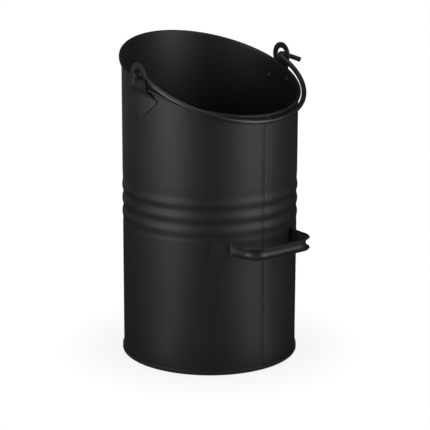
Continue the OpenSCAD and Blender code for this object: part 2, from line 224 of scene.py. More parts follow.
# %% [markdown]
# ## The body sheet
# On the real bucket one sheet makes the wall, the curl round the rim wire and the hook at the
# foot. A closed profile says exactly that: it climbs the outer face, goes round inside the curl to
# the free edge, comes back over the curl, and runs down the inner face. Carrying it round the axis
# gives a true sheet with two faces, which shows its thickness at every edge. The points round the
# axis are closer at the seam, where the shape changes within a millimetre.

# %% Places on the body
def body_angles():
    """Angles round the axis, from the seam at -90 degrees: steps of 1.5 degrees, and 0.09 degrees
    in the seam's zone."""
    fine = np.linspace(-SEAM_ZONE, SEAM_ZONE, 107)
    coarse = np.linspace(SEAM_ZONE, 360 - SEAM_ZONE, 235)[1:-1]
    return np.radians(-90 + np.concatenate([fine, coarse]))


def place_on_wall(angle, z, offset):
    """Points of the cylinder of radius WALL_R + offset at an angle and a height."""
    r = WALL_R + offset
    return np.stack(np.broadcast_arrays(r * np.cos(angle), r * np.sin(angle), z), -1)


def place_on_rim(angle, u, v):
    """Points of the rim's section: the rim's centre at that angle, u outwards and v up the sheet,
    square to the slanted centre line."""
    c, s = np.cos(angle), np.sin(angle)
    m = np.sqrt(1 + (SLANT * c) ** 2)
    x = (ROLL_C + u) * c + v * SLANT * s * c / m
    y = (ROLL_C + u) * s - v * SLANT * c * c / m
    z = roll_height(ROLL_C * s) + v / m
    return np.stack(np.broadcast_arrays(x, y, z), -1)


# %% Body sheet
# Heights where the wall's points are close, at the foot and under the rim, then the flange.
FOOT_START, FOOT_ZONE, RIM_ZONE, RIM_START = 1.5, 9.0, 8.0, 0.2
FLANGE_IN, FLANGE_OUT, FLANGE_LOW, FLANGE_HIGH = 111.3, 112.0, 0.8, 5.0
CURL_TRIM, INNER_STEP = 0.12, 3


def wall_heights(top):
    """Heights of the wall's points at every angle, from the foot up: close steps at the foot, even
    steps to the beads and over them, shares of the way up to the slanted rim, and close steps
    under it."""
    foot = np.linspace(FOOT_START, FOOT_ZONE, 12)
    plain = np.linspace(FOOT_ZONE, BEADS_LOW, 14)[1:-1]
    beads = np.linspace(BEADS_LOW, BEADS_HIGH, 112)
    level = np.concatenate([foot, plain, beads])[:, None] + 0 * top
    share = np.linspace(0, 1, 14)[1:-1, None]
    high = BEADS_HIGH + (top - RIM_ZONE - BEADS_HIGH) * share
    near_rim = top - np.linspace(RIM_ZONE, RIM_START, 17)[:, None]
    return np.concatenate([level, high, near_rim])


def body_profile():
    """The sheet's closed profile at every angle: rows of points up the outer face, round the
    curl's inside, back round its outside, down the inner face and round the foot's flange. The
    curl is trimmed outside, because the CAD rim has flats and the skin stays within them. The
    inner face takes only every third row, which keeps the piece under 200,000 triangles."""
    angle = body_angles()[None, :]
    top = roll_height(ROLL_C * np.sin(angle))
    z = wall_heights(top)
    shape = bead_offset(z) + wall_sway(angle, z, top)
    outer = place_on_wall(angle, z, shape + seam_height(angle, z, top))
    inner = place_on_wall(angle, z, shape - SHEET)[::-1][::INNER_STEP]
    turn = np.radians(np.linspace(180, 180 - ROLL_TURN, 33))[:, None]
    inside, outside = ROLL_R - SHEET, ROLL_R - CURL_TRIM
    curl_in = place_on_rim(angle, inside * np.cos(turn), inside * np.sin(turn))
    curl_out = place_on_rim(angle, outside * np.cos(turn), outside * np.sin(turn))[::-1]
    flange = np.array([
        [WALL_IN, FLANGE_LOW], [FLANGE_OUT, FLANGE_LOW], [FLANGE_OUT, FLANGE_HIGH],
        [FLANGE_IN, FLANGE_HIGH], [FLANGE_IN, FOOT_START]])
    flange = place_on_wall(angle, flange[:, 1:], flange[:, :1] - WALL_R)
    return np.concatenate([outer, curl_in, curl_out, inner, flange])


body_sheet = solid("body_sheet", [ring_sheet(body_profile())], crease=50)

# %% [markdown]
# ## The rim wire
# A wire runs inside the curl and makes the edge stiff. It can be seen only through the gap under
# the curl, so a plain round sweep along the same slanted centre line is enough.

# %% Rim wire
WIRE_TRIM = 0.02


def rim_wire_rings():
    """Circles round the rim's centre line, trimmed a little so that they stay within the CAD
    wire."""
    angle = np.radians(np.arange(0, 360, 1.5))[:, None]
    turn = np.radians(np.arange(0, 360, 30))[None, :]
    radius = WIRE_R - WIRE_TRIM
    return place_on_rim(angle, radius * np.cos(turn), radius * np.sin(turn))


rim_wire = solid("rim_core_wire", [ring_sheet(rim_wire_rings())])

# %% [markdown]
# ## The bottom
# The bottom sheet is folded down inside the wall, under it, and up again outside as a round-edged
# hem. A turned profile is the natural form. Its fold shows as a thin bright line at the foot of
# the bucket, so the bends have a real radius instead of a bevel.

# %% Bottom pan
# Air inside the wall, outside it and over the floor fold, and the radii and heights they give.
LAP_AIR, HEM_AIR, FLOOR_AIR, HEM_LIP = 0.1, 0.12, 0.02, 0.15
LAP_R, HEM_IN, HEM_MOUTH = WALL_IN - LAP_AIR, CHIME_OUT - SHEET, WALL_R + HEM_AIR
FOLD_FLOOR = SHEET + FLOOR_AIR
# The crown's height and the radii of its points, how far it sinks below the lap, and its corner.
CROWN, CROWN_R = 0.25, np.array([4.0, 20, 40, 60, 75, 88, 98, 104])
PAN_SINK, PAN_CORNER = 0.3, 0.2
# Bend radii, heights of points on the upright faces, and the radii of the flat foot.
LAP_BEND, HEM_BEND, FOOT_BEND, LEG_BEND = 0.8, 0.68, 0.9, 0.5
LAP_STOPS, HEM_STOPS, LEG_STOPS = (5.0, 3.0), (4.0, 2.4), (2.5, 5.0)
FOOT_FLAT = (111.4, 110.5)


def arc_points(centre, radius, start, end, count):
    """Points of an arc in a profile, from start to end in degrees."""
    a = np.radians(np.linspace(start, end, count))
    return np.stack([centre[0] + radius * np.cos(a), centre[1] + radius * np.sin(a)], -1)


def pan_profile():
    """Half section of the bottom from the axis out: upper face, fold over the inner leg, down, out
    along the floor, up the hem and back along the under side, with a slight crown in the middle,
    which falls off with the square of the radius."""
    crown = CROWN * (1 - (CROWN_R / CROWN_R[-1]) ** 2) - PAN_SINK
    upper = np.stack([CROWN_R, PAN_RISE + SHEET + crown], -1)
    under = np.stack([CROWN_R, PAN_RISE + crown], -1)[::-1]
    leg_r, hem_top = LAP_R - SHEET, CHIME_H - SHEET
    return np.concatenate([
        upper,
        arc_points((LAP_R - LAP_BEND, PAN_RISE + SHEET - LAP_BEND), LAP_BEND, 90, 0, 7),
        [[LAP_R, z] for z in LAP_STOPS],
        [[LAP_R, FOLD_FLOOR], [HEM_IN, FOLD_FLOOR]],
        [[HEM_IN, hem_top], [HEM_MOUTH, hem_top], [HEM_MOUTH, CHIME_H - HEM_LIP]],
        arc_points((CHIME_OUT - HEM_BEND, CHIME_H - HEM_BEND), HEM_BEND, 90, 0, 8),
        [[CHIME_OUT, z] for z in HEM_STOPS],
        arc_points((CHIME_OUT - FOOT_BEND, FOOT_BEND), FOOT_BEND, 0, -90, 9),
        [[r, 0] for r in FOOT_FLAT],
        arc_points((leg_r + LEG_BEND, LEG_BEND), LEG_BEND, 270, 180, 6),
        [[leg_r, z] for z in (*LEG_STOPS, PAN_RISE - PAN_CORNER)],
        under,
    ])


def lathe(profile, steps=240):
    """A part from a profile of (radius, height) turned round Z. The rows lie along the profile,
    and both ends are capped."""
    angle = np.radians(np.arange(steps) * 360 / steps)
    r, z = profile[:, :1], profile[:, 1:]
    rings = np.stack(np.broadcast_arrays(r * np.cos(angle), r * np.sin(angle), z), -1)
    return tube(rings)


bottom = solid("bottom_sheet", [lathe(pan_profile())], crease=50)

# %% [markdown]
# ## The ears
# An ear is one flat stamping: a round head with a hole, bent back under the rim and down to a
# foot that hugs the wall. The outline is easy to draw flat, and the bends are easy as a height
# over it: how far the plate's middle lies from the axis at (y, z). A smooth maximum joins the
# flat head, the slope and the wall with a real bend radius. A grid from the hole to the outline,
# over the rounded edge and back, closes the plate in both directions.

# %% Ear outline
# Plate, rounding of its edges, head, half neck, hole, the hole's rise over the head's middle, and
# the angle where the head's arc ends.
EAR_T, EAR_EDGE, HEAD_R, NECK_HALF, HOLE_R, HOLE_RISE = 1.5, 0.45, 15.8, 14.0, 7.3, 0.8
HEAD_END = -20.4
# Gaps to the rim and the wall, how far the bend is tucked up under the rim, and the pivot.
RIM_GAP, WALL_GAP, TUCK = 0.2, 0.05, 0.4
PIVOT_Y, PIVOT_RISE = -3.8, 12.6
EAR_IN = ROLL_C + ROLL_R + RIM_GAP
EAR_MID = EAR_IN + EAR_T / 2
PIVOT = np.array([0.0, PIVOT_Y, roll_height(PIVOT_Y) + PIVOT_RISE])
EAR_BEND = math.tan(math.radians(34))
BEND_Z = roll_height(PIVOT_Y - NECK_HALF) + TUCK
FOOT_R = WALL_R + WALL_GAP
NECK_Z = BEND_Z - (EAR_IN - FOOT_R) / EAR_BEND
# The foot's lobes and tip, below the bend, and the roundings of all its corners.
LOBE_HALF, LOBE_DROP, TIP_DROP = 28.9, 14.6, 38.5
LOBE_ROUND, TIP_ROUND, WAIST_ROUND, FLARE_ROUND = 3.5, 5.0, 8.0, 5.0


def fillet(back, corner, ahead, radius, count):
    """Points of the arc of a radius that rounds a corner between two straight sides."""
    a = (back - corner) / np.linalg.norm(back - corner)
    b = (ahead - corner) / np.linalg.norm(ahead - corner)
    half = math.acos(float(a @ b)) / 2
    centre = corner + (a + b) / np.linalg.norm(a + b) * radius / math.sin(half)
    start = corner + a * radius / math.tan(half) - centre
    side = math.copysign(1, start[0] * (corner - centre)[1] - start[1] * (corner - centre)[0])
    t = side * np.linspace(0, math.pi - 2 * half, count)
    across = start[0] * np.cos(t) - start[1] * np.sin(t)
    up = start[0] * np.sin(t) + start[1] * np.cos(t)
    return centre + np.stack([across, up], -1)


def ear_half_outline():
    """Outline from the top of the head down the +y side to the tip, as (across, height) from the
    hole's centre, with the share of the way round the hole that each stretch answers to."""
    waist = np.array([NECK_HALF, -HOLE_RISE - math.sqrt(HEAD_R ** 2 - NECK_HALF ** 2)])
    neck = np.array([NECK_HALF, NECK_Z - PIVOT[2]])
    lobe = np.array([LOBE_HALF, BEND_Z - LOBE_DROP - PIVOT[2]])
    tip = np.array([0.0, BEND_Z - TIP_DROP - PIVOT[2]])
    a = np.radians(np.linspace(90, HEAD_END, 38))
    head = np.stack([HEAD_R * np.cos(a), HEAD_R * np.sin(a) - HOLE_RISE], -1)
    waist_arc = fillet(head[-1], waist, neck, WAIST_ROUND, 6)[1:]
    lobe_arc = fillet(neck, lobe, tip, LOBE_ROUND, 9)
    tip_arc = fillet(lobe, tip, lobe * [-1, 1], TIP_ROUND, 17)[:9]
    neck_arc = fillet(waist, neck, lobe, FLARE_ROUND, 9)
    down = np.linspace(waist_arc[-1], neck_arc[0], 9)[1:-1]
    out = np.linspace(neck_arc[-1], lobe_arc[0], 9)[1:-1]
    home = np.linspace(lobe_arc[-1], tip_arc[0], 15)[1:-1]
    stretches = [
        (head, 90, -14), (waist_arc, -16, -20), (down, -21, -31), (neck_arc, -33, -42),
        (out, -45, -66), (lobe_arc, -68, -76), (home, -77, -88), (tip_arc, -88.4, -90),
    ]
    points = np.concatenate([line for line, start, end in stretches])
    around = [np.linspace(start, end, len(line)) for line, start, end in stretches]
    return points, np.radians(np.concatenate(around))


# %% Ear bends
# Width of a bend, how far across the wall's circle is followed, and a step to measure slopes.
BEND_WIDTH, FOOT_REACH, NUDGE = 1.0, 60, 0.05


def soft_max(a, b, width):
    """The larger of a and b, rounded over about the given width where they meet: half of
    a + b + the root of (a - b) squared plus the width squared."""
    return (a + b + np.sqrt((a - b) ** 2 + width ** 2)) / 2


def ear_middle(y, z):
    """Distance of the plate's middle from the axis plane: the wall's circle below, the flat head
    above, and the slope between them, joined with bends."""
    foot = np.sqrt((FOOT_R + EAR_T / 2) ** 2 - np.minimum(np.abs(y), FOOT_REACH) ** 2)
    slope = EAR_MID - (BEND_Z - z) * EAR_BEND
    head = EAR_MID - soft_max(EAR_MID - slope, 0, BEND_WIDTH)
    return soft_max(foot, head, BEND_WIDTH)


def ear_normal(y, z):
    """Unit normal of the plate's middle at (y, z), from its slopes over a small step."""
    slope_y = (ear_middle(y + NUDGE, z) - ear_middle(y - NUDGE, z)) / (2 * NUDGE)
    slope_z = (ear_middle(y, z + NUDGE) - ear_middle(y, z - NUDGE)) / (2 * NUDGE)
    normal = np.stack([np.ones_like(y), -slope_y, -slope_z], -1)
    return normal / np.linalg.norm(normal, axis=-1, keepdims=True)


# %% Ear plates
FACE_ROWS, EDGE_TURN = 16, np.radians([22.5, 45, 67.5])


def inward_normals(outline):
    """Unit vectors square to a closed outline, on the side of the hole: each is the chord between
    a point's two neighbours, turned by 90 degrees."""
    chord = np.roll(outline, -1, 0) - np.roll(outline, 1, 0)
    square = np.stack([-chord[:, 1], chord[:, 0]], -1)
    square /= np.linalg.norm(chord, axis=1, keepdims=True)
    return -square * np.sign((square * outline).sum(1, keepdims=True))


def flat_ear_rows():
    """Closed rows of flat points, and each row's height over the plate's middle: out from the hole
    on one face, round the outline's rounded edge, in on the other face and through the hole."""
    points, around = ear_half_outline()
    outline = np.concatenate([points, points[-2:0:-1] * [-1, 1]])
    around = np.concatenate([around, np.pi - around[-2:0:-1]])
    hole = HOLE_R * np.stack([np.cos(around), np.sin(around)], -1)
    inward = inward_normals(outline) * EAR_EDGE
    outward = hole / HOLE_R * EAR_EDGE
    near_hole, near_edge = hole + outward, outline + inward
    spread = np.linspace(0, 1, FACE_ROWS)[:, None, None]
    face = near_hole + (near_edge - near_hole) * spread
    bend = np.sin(EDGE_TURN)[:, None, None]
    rim, bore = near_edge - inward * bend, near_hole - outward * bend
    rows = np.concatenate([
        face, rim, outline[None], outline[None], rim[::-1],
        face[::-1], bore, hole[None], hole[None], bore[::-1]])
    half = EAR_T / 2
    drop = EAR_EDGE * (1 - np.cos(EDGE_TURN))
    edge = np.concatenate([half - drop, [half - EAR_EDGE, EAR_EDGE - half], drop[::-1] - half])
    return rows, np.concatenate([np.full(FACE_ROWS, half), edge, np.full(FACE_ROWS, -half), -edge])


def ear_grid(side):
    """The flat rows laid on the bent middle, each point moved along the normal by its height, on
    the side where x has the given sign."""
    rows, height = flat_ear_rows()
    y, z = rows[..., 0] + PIVOT[1], rows[..., 1] + PIVOT[2]
    place = np.stack([ear_middle(y, z), y, z], -1) + ear_normal(y, z) * height[:, None, None]
    return place * [side, 1, 1]


right_ear = solid("right_ear_plate", [ring_sheet(ear_grid(1))])
left_ear = solid("left_ear_plate", [ring_sheet(ear_grid(-1))])

# %% [markdown]
# ## The rivets
# Each ear is held by two rivets. Their domed heads are inside the bucket, and outside only the
# upset ends show. A turned dome with a rounded foot reads as a set rivet.

# %% Rivets
RIVET_DROP, RIVET_HALF, RIVET_SLACK = 13.9, 18.2, 0.05
# Radius and height over the wall's inner face, from the dome to the upset end.
RIVET_PROFILE = np.array([
    [0.3, -1.55], [1.2, -1.5], [2.4, -1.28], [3.3, -0.92], [3.9, -0.5], [4.08, -0.22],
    [4.0, -0.05], [2.0, 0], [2.0, 1.2], [2.0, 2.3], [2.45, 2.32], [2.6, 2.42],
    [2.55, 2.6], [2.3, 2.74], [1.4, 2.8], [0.3, 2.8]])


def rivet_part(side, across):
    """A turned rivet, its axis laid along the wall's radius at that place across the ear."""
    turn = np.radians(np.arange(0, 360, 12))
    radius, rise = RIVET_PROFILE[:, :1, None], RIVET_PROFILE[:, 1:, None]
    a = math.asin((PIVOT[1] + across) / WALL_R)
    out = np.array([math.cos(a), math.sin(a), 0])
    along = np.array([-math.sin(a), math.cos(a), 0])
    circle = np.sin(turn)[:, None] * along + np.cos(turn)[:, None] * [0, 0, 1]
    place = (rise + WALL_IN - RIVET_SLACK) * out + radius * circle
    place = (place + [0, 0, BEND_Z - RIVET_DROP]) * [side, 1, 1]
    return tube(place)


RIVET_PLACES = (-RIVET_HALF, RIVET_HALF)
right_rivets = solid("right_rivet_pair", [rivet_part(1, across) for across in RIVET_PLACES])
left_rivets = solid("left_rivet_pair", [rivet_part(-1, across) for across in RIVET_PLACES])

# %% [markdown]
# ## The bail
# The bail is one steel wire of 6.3 mm, bent in a plane: a straight end, a tight turn through the
# ear's hole, a short leg, the half round bow, and the same again. A list of lines and arcs gives
# the centre line, and because it stays in one plane, the section never twists: one side vector
# lies in the plane, and the other is the plane's normal. The ends are sawn off square.

# %% Bail
BAIL_R, LEG_LEN = 3.15, 14.7
STUB_LEN, STUB_ANGLE, BAIL_REST = 22.95, math.radians(49), math.radians(24.798)
BAIL_GAP = 0.45
BAIL_HALF = EAR_IN - BAIL_GAP - BAIL_R
HOOK_R = EAR_MID - BAIL_HALF
# Points along the straight end, then points before the cut and how far they are rounded off.
STUB_STEPS = [2, 6, 10, 14, 18, 22]
CUT_STEPS, CUT_DROPS = np.array([0.5, 0.4, 0.15, 0]), np.array([0, 0.02, 0.12, 0.4])


def bail_path():
    """Centre line and direction in the bail's own plane, from the middle of the bow to one end:
    a quarter circle, a straight leg, a turn of 90 degrees plus the end's angle, and the end."""
    a = np.linspace(0, np.pi / 2, 90)
    bow = np.stack([BAIL_HALF * np.sin(a), LEG_LEN + BAIL_HALF * np.cos(a)], -1)
    leg_s = np.linspace(0, LEG_LEN - HOOK_R, 8)[1:-1]
    leg = np.stack([np.full_like(leg_s, BAIL_HALF), LEG_LEN - leg_s], -1)
    t = np.linspace(0, np.pi / 2 + STUB_ANGLE, 36)
    hook = np.stack([BAIL_HALF + HOOK_R * (1 - np.cos(t)), HOOK_R * (1 - np.sin(t))], -1)
    s = np.concatenate([STUB_STEPS, STUB_LEN - CUT_STEPS])
    end = hook[-1] + s[:, None] * [math.cos(STUB_ANGLE), math.sin(STUB_ANGLE)]
    points = np.concatenate([bow, leg, hook, end])
    heading = np.concatenate([
        -a, np.full(len(leg), -np.pi / 2), t - np.pi / 2, np.full(len(s), STUB_ANGLE)])
    radius = np.full(len(points), BAIL_R)
    radius[-len(CUT_DROPS):] -= CUT_DROPS
    return points, heading, radius


def bail_rings():
    """Circles round the centre line, mirrored to the left half and turned down to the rest."""
    points, heading, radius = bail_path()
    left = slice(None, 0, -1)
    x = np.concatenate([-points[left, 0], points[:, 0]])
    down = np.concatenate([points[left, 1], points[:, 1]])
    heading = np.concatenate([-heading[left], heading])
    radius = np.concatenate([radius[left], radius])[:, None]
    turn = np.radians(np.arange(0, 360, 11.25))[None, :]
    in_plane = radius * np.cos(turn)
    px = x[:, None] - in_plane * np.sin(heading)[:, None]
    pd = down[:, None] + in_plane * np.cos(heading)[:, None]
    lift = radius * np.sin(turn)
    c, s = math.cos(BAIL_REST), math.sin(BAIL_REST)
    return np.stack([px, PIVOT[1] - pd * c + lift * s, PIVOT[2] - pd * s - lift * c], -1)


bail = solid("bail_wire", [tube(bail_rings())])

# %% [markdown]
# ## The tipping handle
# A hand goes under this handle to tip the bucket. It is one strap: its ends lie flat on the wall,
# and between them it is pressed into a gutter, open to the outside, with rounded edges against
# the hand. Each station of the strap has a place, a direction and a half angle of the gutter,
# which grows from nothing over the first 16 mm, as the real pressing does.

# %% Handle stations
# Height and strap, half length, reach and bend of the grip, the gutter's half angle and the small
# one that stands for flat, then foot, crease and flare.
HANDLE_Z, STRAP_W, STRAP_T = 164.5, 19.0, 1.2
GRIP_HALF, GRIP_OUT, GRIP_BEND = 48.5, 34.4, 21.5
GUTTER, FLAT = math.radians(75), 0.005
FOOT_LEN, FOOT_ROUND, FOOT_TIP = 24.0, 7.0, 0.02
CREASE_R, FLARE, FLARE_POWER = 3.0, 16.0, 2.2
STRAP_R = FOOT_R + STRAP_T / 2
GRIP_Y = WALL_R + GRIP_OUT
CREASE_X = GRIP_HALF + CREASE_R
CREASE_Y = math.sqrt((STRAP_R + CREASE_R) ** 2 - CREASE_X ** 2)
CREASE_TURN = math.atan2(CREASE_X, CREASE_Y)
FOOT_END = CREASE_TURN + FOOT_LEN / STRAP_R


def station_rows(x, y, facing, half, width):
    """Stations as rows of five columns, where a single value stands for a whole column."""
    return np.stack(np.broadcast_arrays(x, y, facing, half, width), -1).astype(float)


def handle_stations():
    """Rows of x, y, facing direction, gutter half angle and width, from the middle of the grip
    along a line, a bend, the flaring limb, the crease and the foot, whose end is a half round."""
    corner = GRIP_HALF - GRIP_BEND
    x = np.linspace(0, corner, 14)[:-1]
    grip = station_rows(x, -GRIP_Y, -np.pi / 2, GUTTER, STRAP_W)
    t = np.linspace(-np.pi / 2, 0, 34)
    x, y = corner + GRIP_BEND * np.cos(t), GRIP_BEND - GRIP_Y + GRIP_BEND * np.sin(t)
    bend = station_rows(x, y, t, GUTTER, STRAP_W)
    s = np.linspace(FLARE, 0, 28)[:-1]
    opened = 1 - (1 - s / FLARE) ** FLARE_POWER
    limb = station_rows(GRIP_HALF, -CREASE_Y - s, 0, FLAT + (GUTTER - FLAT) * opened, STRAP_W)
    t = np.linspace(0, -(np.pi / 2 - CREASE_TURN), 12)
    x, y = CREASE_X - CREASE_R * np.cos(t), -CREASE_Y - CREASE_R * np.sin(t)
    crease = station_rows(x, y, t, FLAT, STRAP_W)
    end = FOOT_ROUND * (1 - np.sin(np.linspace(0, np.pi / 2, 14)))
    s = np.concatenate([np.linspace(FOOT_LEN, FOOT_ROUND, 30)[1:-1], end])
    s[-1] = FOOT_TIP
    t = FOOT_END - s / STRAP_R
    rounded = np.sqrt(FOOT_ROUND ** 2 - np.maximum(FOOT_ROUND - s, 0) ** 2)
    width = STRAP_W - 2 * FOOT_ROUND + 2 * rounded
    foot = station_rows(STRAP_R * np.sin(t), -STRAP_R * np.cos(t), t - np.pi / 2, FLAT, width)
    half = np.concatenate([grip, bend, limb, crease, foot])
    mirrored = half[:0:-1] * [-1, 1, -1, 1, 1] - [0, 0, np.pi, 0, 0]
    return np.concatenate([mirrored, half])


# %% Handle skin
EDGE_POWER, BACK_BEVEL = 0.4, 0.45


def handle_sections():
    """Sections of the strap: an arc of the gutter's half angle for the open face, an edge whose
    sine and cosine are raised to a power below 1, which makes it boxy, the back's arc and the
    other edge. The arc's length is the strap's width, and the back is narrower by a bevel."""
    x, y, facing, half, width = [c[:, None] for c in handle_stations().T]
    arc = width / (2 * half)
    shift = arc * np.sin(half) / half
    across = np.linspace(-1, 1, 29)
    edge = np.radians(np.linspace(0, 180, 11)[1:-1])
    edge_cos = np.sign(np.cos(edge)) * np.abs(np.cos(edge)) ** EDGE_POWER
    edge_sin = np.sin(edge) ** EDGE_POWER
    t = STRAP_T / 2
    reach = half * (1 - t / arc / half)
    bevel = BACK_BEVEL / arc
    radius = np.concatenate([
        arc - t + 0 * across, arc - t * edge_cos, arc + t + 0 * across, arc + t * edge_cos], 1)
    turn = np.concatenate([
        reach * across,
        reach + t / arc * edge_sin - bevel * (1 - edge_cos) / 2,
        (reach - bevel) * across[::-1],
        -reach - t / arc * edge_sin + bevel * (1 + edge_cos) / 2], 1)
    out = shift - radius * np.cos(turn)
    z = HANDLE_Z + radius * np.sin(turn)
    return np.stack([x + out * np.cos(facing), y + out * np.sin(facing), z], -1)


handle = solid("tipping_handle_strap", [tube(handle_sections())])

# %% [markdown]
# ## Rides and replacements
# A piece moves with the CAD body that it is named for, and stands in for its node. The bail is
# the only body that swings, and everything else belongs to the scuttle.

# %% Rides
SKINS = {
    "body_shell": (body_sheet, "scuttle", "painted_sheet"),
    "rim_wire": (rim_wire, "scuttle", "steel_wire"),
    "bottom_pan": (bottom, "scuttle", "painted_sheet"),
    "right_ear": (right_ear, "scuttle", "painted_fittings"),
    "left_ear": (left_ear, "scuttle", "painted_fittings"),
    "right_ear_rivets": (right_rivets, "scuttle", "painted_fittings"),
    "left_ear_rivets": (left_rivets, "scuttle", "painted_fittings"),
    "tipping_handle": (handle, "scuttle", "painted_fittings"),
    "bail": (bail, "bail", "painted_wire"),
}
for node, (piece, body, slot) in SKINS.items():
    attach(piece, body)
    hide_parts(node)
    print(f"{piece.name} replaces {node} and rides on {body}")

# %% [markdown]
# ## Shader maths in Python
# A powder coat needs a few sums of noise, and wiring each sum by hand hides the idea. So a small
# class wraps a socket, and + - * on it add the Math nodes. Every other node comes from one
# method, which takes the node's type, its settings, and what goes into its sockets.

# %% Shader helpers
class Value:
    """A number worked out over the surface, held as the socket that gives it."""

    def __init__(self, nodes, socket):
        self.nodes, self.socket = nodes, socket

    def maths(self, operation, a, b):
        node = self.nodes.node("Math", {"operation": operation}, {0: a, 1: b})
        return Value(self.nodes, node.outputs[0])

    def __add__(self, other):
        return self.maths("ADD", self, other)

    def __sub__(self, other):
        return self.maths("SUBTRACT", self, other)

    def __rsub__(self, other):
        return self.maths("SUBTRACT", other, self)

    def __mul__(self, other):
        return self.maths("MULTIPLY", self, other)

    __radd__, __rmul__ = __add__, __mul__

    def limited(self, low, high):
        """The value kept between two limits, spread over 0 to 1."""
        inputs = {"Value": self, "From Min": low, "From Max": high}
        node = self.nodes.node("MapRange", {"clamp": True}, inputs)
        return Value(self.nodes, node.outputs[0])


class Nodes:
    """A node tree under construction."""

    def __init__(self, tree):
        self.tree = tree

    def node(self, kind, settings=None, inputs=None):
        """A new node of a kind, with its settings made first and then its sockets filled."""
        made = self.tree.nodes.new("ShaderNode" + kind)
        for key, value in (settings or {}).items():
            setattr(made, key, value)
        for key, value in (inputs or {}).items():
            self.feed(made.inputs[key], value)
        return made

    def feed(self, socket, value):
        """Link a value or a socket to a socket, or set a constant on it."""
        source = value.socket if isinstance(value, Value) else value
        if isinstance(source, bpy.types.NodeSocket):
            self.tree.links.new(source, socket)
        else:
            socket.default_value = source

    def backdrop_rays(self):
        """1 for the rays that see the white backdrop, which come from the camera, from a mirror or
        through glass, and 0 for the rays that light the object."""
        rays = self.node("LightPath").outputs
        camera, glossy, through = [
            Value(self, rays[f"Is {kind} Ray"]) for kind in ("Camera", "Glossy", "Transmission")]
        return camera + glossy + through


class Finish(Nodes):
    """A material under construction: its nodes, its shader and its object coordinates."""

    def __init__(self, name):
        self.material = bpy.data.materials.new(name)
        self.material.use_nodes = True
        super().__init__(self.material.node_tree)
        self.shader = self.tree.nodes["Principled BSDF"]
        self.place = self.node("TexCoord").outputs["Object"]

    def noise(self, size_mm, detail=2.0, roughness=0.5):
        """Noise from 0 to 1 whose features are about size_mm across."""
        inputs = {
            "Vector": self.place, "Scale": 1 / (size_mm * MM),
            "Detail": detail, "Roughness": roughness}
        return Value(self, self.node("TexNoise", None, inputs).outputs[0])

    def set(self, **inputs):
        """Fill the shader's own sockets, with _ for the spaces in their names."""
        for name, value in inputs.items():
            self.feed(self.shader.inputs[name.replace("_", " ")], value)

    def colour(self, factor, first, second):
        """A colour between two, by a factor from 0 to 1."""
        mix = self.node("Mix", {"data_type": "RGBA"}, None)
        self.feed(mix.inputs[0], factor)
        self.feed(mix.inputs[6], (*first, 1))
        self.feed(mix.inputs[7], (*second, 1))
        return mix.outputs[2]

    def bump(self, height, depth_mm):
        """A normal from a height of 0 to 1 that stands for depth_mm."""
        inputs = {"Height": height, "Distance": depth_mm * MM, "Strength": 1.0}
        return self.node("Bump", None, inputs).outputs[0]


# %% [markdown]
# ## The powder coat
# The bucket is sprayed with black powder and baked. The coat is satin, not glossy, with an orange
# peel of about a millimetre and a fine grain on top, and dust in it makes some areas a shade paler.
# So one function makes the coat, and its numbers differ a little for the sheet, the stamped
# fittings and the wire, which is handled most and shines most.

# %% Powder coat
DRIFT_MM, GRAIN_MM, SPECK_MM = 70, 0.45, 2.2


def powder_coat(name, dark, pale, rough, gloss, peel_mm, peel_depth):
    """Satin black coat: colour and roughness drift with slow noise, and orange peel and fine
    grain raise the surface by hundredths of a millimetre."""
    coat = Finish(name)
    drift = coat.noise(DRIFT_MM, detail=3)
    grain = coat.noise(GRAIN_MM, detail=2)
    peel = coat.noise(peel_mm, detail=1.5)
    specks = coat.noise(SPECK_MM, detail=4, roughness=0.7).limited(0.66, 0.78)
    shade = (drift * 0.7 + grain * 0.3).limited(0.3, 0.7)
    coat.set(
        Base_Color=coat.colour(shade, dark, pale),
        Roughness=rough + drift * 0.06 + grain * 0.05 - specks * 0.05,
        Normal=coat.bump(peel * 0.75 + grain * 0.25, peel_depth),
        Specular_IOR_Level=gloss,
    )
    return coat.material


SHEET_COAT = powder_coat(
    "black_coat_on_sheet", (0.011, 0.011, 0.012), (0.016, 0.016, 0.017),
    rough=0.42, gloss=0.3, peel_mm=1.3, peel_depth=0.012)
FITTING_COAT = powder_coat(
    "black_coat_on_fittings", (0.014, 0.014, 0.015), (0.020, 0.020, 0.021),
    rough=0.37, gloss=0.37, peel_mm=1.0, peel_depth=0.010)
WIRE_COAT = powder_coat(
    "black_coat_on_wire", (0.013, 0.013, 0.014), (0.020, 0.020, 0.022),
    rough=0.24, gloss=0.5, peel_mm=0.9, peel_depth=0.006)

# %% [markdown]
# ## The bare core wire
# The rim's wire never meets the spray, so it is drawn steel: metal with a fine grain and a few
# darker stains.

# %% Core wire
def drawn_steel(name):
    """Drawn wire: bright metal with a fine grain in its roughness and stains in its colour."""
    steel = Finish(name)
    stain = steel.noise(9, detail=3).limited(0.35, 0.75)
    grain = steel.noise(0.5, detail=2)
    steel.set(
        Base_Color=steel.colour(stain, (0.42, 0.42, 0.44), (0.28, 0.27, 0.26)),
        Roughness=0.34 + grain * 0.16 + stain * 0.1,
        Metallic=1.0,
        Normal=steel.bump(grain, 0.006),
    )
    return steel.material


CORE_STEEL = drawn_steel("drawn_core_wire")

FINISHES = {
    "painted_sheet": SHEET_COAT,
    "painted_fittings": FITTING_COAT,
    "painted_wire": WIRE_COAT,
    "steel_wire": CORE_STEEL,
}
for piece, _, slot in SKINS.values():
    piece.data.materials.append(FINISHES[slot])
print("finishes:", sorted(FINISHES))

# %% [markdown]
# ## Floor and backdrop
# The photograph shows the bucket cut out on pure white. So the floor and the world are white, with
# a strength of 1, to the rays that see a backdrop. To the rays that light the object the floor is
# plain matt white and the world is dim. Close to the foot a little of the really lit floor is
# mixed in, which keeps the bucket's soft shadow.

